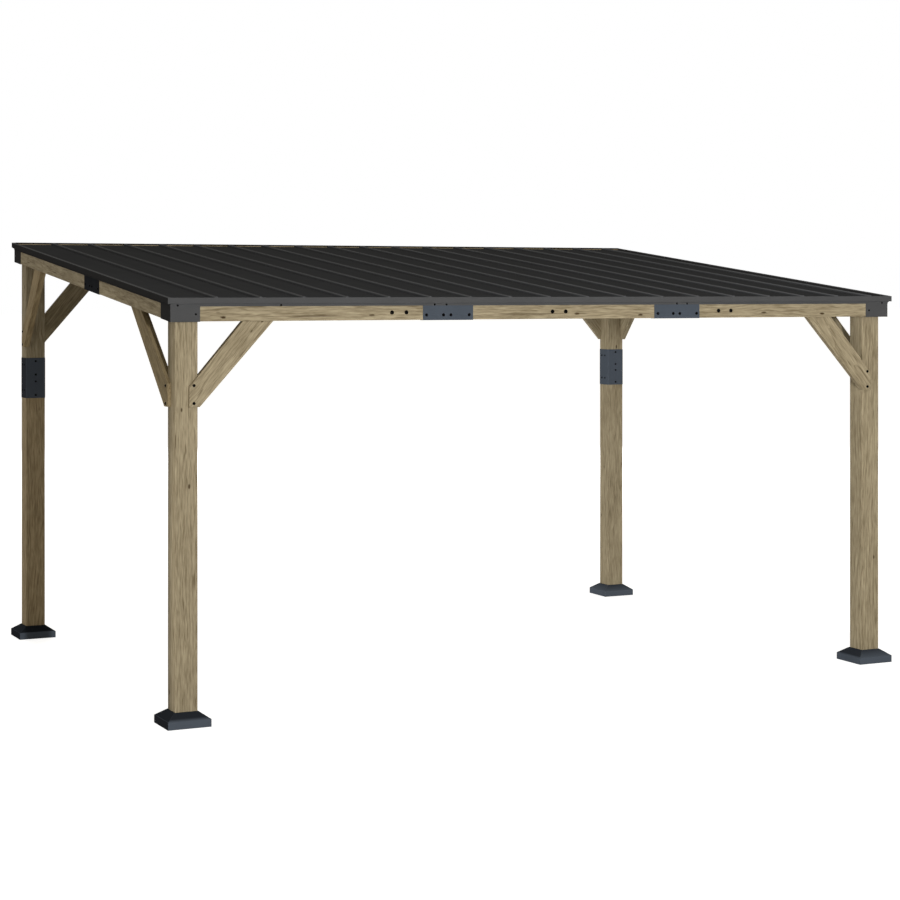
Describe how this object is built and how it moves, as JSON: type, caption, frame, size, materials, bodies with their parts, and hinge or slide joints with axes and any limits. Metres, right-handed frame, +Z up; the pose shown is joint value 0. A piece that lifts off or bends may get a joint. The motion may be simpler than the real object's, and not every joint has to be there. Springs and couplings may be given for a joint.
{
  "type": "lean-to gazebo",
  "caption": "Open lean-to gazebo: timber posts, knee braces and beams joined by steel fittings under a sloping standing-seam metal roof.",
  "frame": {"origin": "on the ground, in the middle of the outline", "axes": "+X along the eave to the right as seen from the front, +Y from the low front to the high back, +Z up"},
  "size_m": [4.268, 3.085, 2.3937],
  "materials": {
    "timber": "sawn grey-brown softwood",
    "roof_metal": "dark grey satin coating",
    "trim_metal": "mid grey satin coating",
    "fitting_steel": "slate grey powder coating"
  },
  "bodies": {
    "root": {"base_cover_back_left": "fitting_steel", "base_cover_back_right": "fitting_steel", "base_cover_front_left": "fitting_steel", "base_cover_front_right": "fitting_steel", "beam_back_left": "timber", "beam_back_middle": "timber", "beam_back_right": "timber", "beam_front_left": "timber", "beam_front_middle": "timber", "beam_front_right": "timber", "beam_left_back": "timber", "beam_left_front": "timber", "beam_right_back": "timber", "beam_right_front": "timber", "brace_back_left": "timber", "brace_back_right": "timber", "brace_front_left": "timber", "brace_front_right": "timber", "brace_left_back": "timber", "brace_left_front": "timber", "brace_right_back": "timber", "brace_right_front": "timber", "corner_bracket_back_left": "trim_metal", "corner_bracket_back_right": "trim_metal", "corner_bracket_front_left": "trim_metal", "corner_bracket_front_right": "trim_metal", "fascia_front": "trim_metal", "post_back_left_lower": "timber", "post_back_left_upper": "timber", "post_back_right_lower": "timber", "post_back_right_upper": "timber", "post_front_left": "timber", "post_front_right": "timber", "post_sleeve_left": "fitting_steel", "post_sleeve_right": "fitting_steel", "rafter_left": "timber", "rafter_middle": "timber", "rafter_right": "timber", "rafter_stirrups_back": "fitting_steel", "rafter_stirrups_front": "fitting_steel", "rake_trim_left": "roof_metal", "rake_trim_right": "roof_metal", "roof_panels": "roof_metal", "splice_plate_back_left": "fitting_steel", "splice_plate_back_right": "fitting_steel", "splice_plate_front_left": "fitting_steel", "splice_plate_front_right": "fitting_steel", "splice_plate_left": "fitting_steel", "splice_plate_right": "fitting_steel"}
  },
  "joints": []
}
